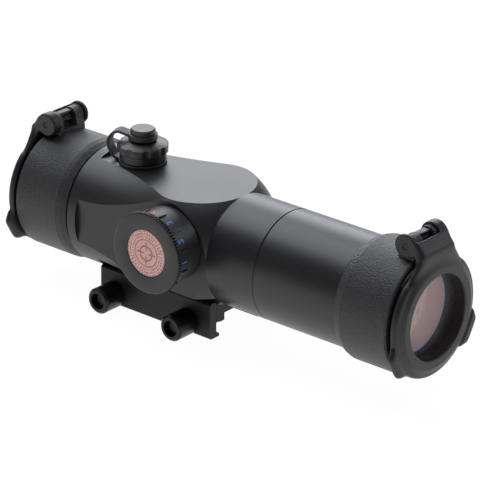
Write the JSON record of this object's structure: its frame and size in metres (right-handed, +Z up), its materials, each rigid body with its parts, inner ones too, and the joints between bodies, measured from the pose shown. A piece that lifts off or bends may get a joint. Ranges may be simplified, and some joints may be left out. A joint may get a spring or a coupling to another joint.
{
  "type": "red dot sight",
  "caption": "Black tube red dot sight with flip-up end caps, capped elevation and windage turrets, a side brightness knob with coin cell bay, and a rail clamp.",
  "frame": {"origin": "midway between the two clamp bolts, centred on the rail, on the plane of the rail's top that the clamp seats on", "axes": "+X along the optical axis towards the objective end, +Y to the left of someone looking through it, +Z up away from the rail"},
  "size_m": [0.1672, 0.0624, 0.0596],
  "materials": {
    "anodised_body": "satin black anodised",
    "anodised_tube": "satin black anodised, turned",
    "cap_rubber": "pebbled black rubber",
    "lid_rubber": "smooth satin black rubber",
    "coated_glass": "reflective pink coating",
    "clear_glass": "thin coating",
    "lid_window": "clear",
    "inner_black": "matt black anodised",
    "seal_rubber": "smooth",
    "pin_steel": "black oxide",
    "spring_steel": "spring steel",
    "turret_black": "satin black anodised",
    "strap_rubber": "soft black rubber",
    "dial_metal": "plain machined",
    "knob_black": "satin black anodised",
    "badge_pink": "tinted, etched pattern",
    "battery_steel": "coin cell",
    "contact_brass": "spring brass",
    "circuit_board": "circuit board",
    "emitter_red": "red emitter",
    "clamp_black": "black anodised",
    "nut_black": "black oxide"
  },
  "bodies": {
    "sight": {"body_housing": "anodised_body", "front_collar_tube": "anodised_tube", "objective_tube": "anodised_tube", "eyepiece_tube": "anodised_tube", "objective_lens": "coated_glass", "objective_lens_seal": "seal_rubber", "objective_retainer": "inner_black", "eyepiece_lens": "clear_glass", "eyepiece_lens_seal": "seal_rubber", "eyepiece_retainer": "inner_black", "front_cap_skirt": "cap_rubber", "rear_cap_skirt": "cap_rubber", "front_lid_spring": "spring_steel", "rear_lid_spring": "spring_steel", "elevation_post": "turret_black", "elevation_seal": "seal_rubber", "windage_post": "turret_black", "windage_seal": "seal_rubber", "bias_spring": "spring_steel", "knob_base": "knob_black", "knob_track": "dial_metal", "clamp_base": "clamp_black", "clamp_bolts": "pin_steel", "base_screws": "pin_steel"},
    "front_lid": {"front_lid": "lid_rubber", "front_lid_window": "lid_window", "front_hinge_pin": "pin_steel"},
    "rear_lid": {"rear_lid": "lid_rubber", "rear_lid_window": "lid_window", "rear_hinge_pin": "pin_steel"},
    "elevation_keeper": {"elevation_strap": "strap_rubber"},
    "elevation_cap": {"elevation_cap": "turret_black", "elevation_button": "turret_black"},
    "windage_keeper": {"windage_strap": "strap_rubber"},
    "windage_cap": {"windage_cap": "turret_black", "windage_button": "turret_black"},
    "elevation_dial": {"elevation_dial": "dial_metal"},
    "elevation_plunger": {"elevation_plunger": "dial_metal"},
    "windage_dial": {"windage_dial": "dial_metal"},
    "windage_plunger": {"windage_plunger": "dial_metal"},
    "gimbal": {"gimbal_ring": "inner_black"},
    "inner_optics": {"inner_tube": "inner_black", "emitter_board": "circuit_board", "emitter_led": "emitter_red"},
    "knob": {"knob_drum": "knob_black", "knob_wiper": "dial_metal", "battery_contact": "contact_brass", "battery": "battery_steel"},
    "battery_cap": {"battery_cap": "knob_black", "badge_disc": "badge_pink"},
    "clamp_plate": {"clamp_plate": "clamp_black"},
    "rear_clamp_nut": {"rear_clamp_nut": "nut_black"},
    "front_clamp_nut": {"front_clamp_nut": "nut_black"}
  },
  "joints": [
    {"name": "front_lid_flip", "type": "hinge", "parent": "sight", "child": "front_lid", "pos_m": [0.099, 0, 0.04825], "axis": [0, -1, 0], "range_deg": [0, 110]},
    {"name": "rear_lid_flip", "type": "hinge", "parent": "sight", "child": "rear_lid", "pos_m": [-0.0526, 0, 0.04825], "axis": [0, 1, 0], "range_deg": [0, 110]},
    {"name": "elevation_keeper_lift", "type": "slide", "parent": "sight", "child": "elevation_keeper", "axis": [0, 0, 1], "range_m": [0, 0.003]},
    {"name": "elevation_cap_turn", "type": "hinge", "parent": "elevation_keeper", "child": "elevation_cap", "pos_m": [-0.0165, 0, 0.04235], "axis": [0, 0, 1], "range_deg": [0, 1441]},
    {"name": "windage_keeper_lift", "type": "slide", "parent": "sight", "child": "windage_keeper", "axis": [0, 1, 0], "range_m": [0, 0.003]},
    {"name": "windage_cap_turn", "type": "hinge", "parent": "windage_keeper", "child": "windage_cap", "pos_m": [-0.0165, 0.0189, 0.02345], "axis": [0, 1, 0], "range_deg": [0, 1441]},
    {"name": "elevation_dial_turn", "type": "hinge", "parent": "sight", "child": "elevation_dial", "pos_m": [-0.0165, 0, 0.04235], "axis": [0, 0, 1], "range_deg": [-361, 361]},
    {"name": "elevation_plunger_slide", "type": "slide", "parent": "sight", "child": "elevation_plunger", "axis": [0, 0, -1], "range_m": [-0.0005, 0.0005]},
    {"name": "gimbal_tilt", "type": "hinge", "parent": "sight", "child": "gimbal", "pos_m": [0.02, 0, 0.02345], "axis": [0, 1, 0], "range_deg": [-0.79, 0.79]},
    {"name": "windage_dial_turn", "type": "hinge", "parent": "sight", "child": "windage_dial", "pos_m": [-0.0165, 0.0189, 0.02345], "axis": [0, 1, 0], "range_deg": [-361, 361]},
    {"name": "windage_plunger_slide", "type": "slide", "parent": "sight", "child": "windage_plunger", "axis": [0, -1, 0], "range_m": [-0.0005, 0.0005]},
    {"name": "inner_tube_pan", "type": "hinge", "parent": "gimbal", "child": "inner_optics", "pos_m": [0.02, 0, 0.02345], "axis": [0, 0, 1], "range_deg": [-0.79, 0.79]},
    {"name": "knob_turn", "type": "hinge", "parent": "sight", "child": "knob", "pos_m": [0.0125, -0.0189, 0.0278], "axis": [0, -1, 0], "range_deg": [-163.64, 163.64]},
    {"name": "battery_cap_turn", "type": "hinge", "parent": "knob", "child": "battery_cap", "pos_m": [0.0125, -0.0295, 0.0278], "axis": [0, -1, 0], "range_deg": [0, 90]},
    {"name": "clamp_plate_slide", "type": "slide", "parent": "sight", "child": "clamp_plate", "axis": [0, -1, 0], "range_m": [0, 0.0035]},
    {"name": "rear_nut_turn", "type": "hinge", "parent": "clamp_plate", "child": "rear_clamp_nut", "pos_m": [-0.016, -0.0146, -0.00085], "axis": [0, -1, 0], "range_deg": [0, 1801]},
    {"name": "front_nut_turn", "type": "hinge", "parent": "clamp_plate", "child": "front_clamp_nut", "pos_m": [0.016, -0.0146, -0.00085], "axis": [0, -1, 0], "range_deg": [0, 1801]}
  ],
  "couplings": [
    {"joint": "elevation_cap_turn", "follows": "elevation_keeper_lift", "rad_per_m": 8377.6},
    {"joint": "windage_cap_turn", "follows": "windage_keeper_lift", "rad_per_m": 8377.6},
    {"joint": "elevation_dial_turn", "follows": "elevation_plunger_slide", "rad_per_m": -12566},
    {"joint": "gimbal_tilt", "follows": "elevation_plunger_slide", "rad_per_m": -27.397},
    {"joint": "windage_dial_turn", "follows": "windage_plunger_slide", "rad_per_m": -12566},
    {"joint": "inner_tube_pan", "follows": "windage_plunger_slide", "rad_per_m": 27.397},
    {"joint": "rear_nut_turn", "follows": "clamp_plate_slide", "rad_per_m": 8976},
    {"joint": "front_nut_turn", "follows": "clamp_plate_slide", "rad_per_m": 8976}
  ]
}
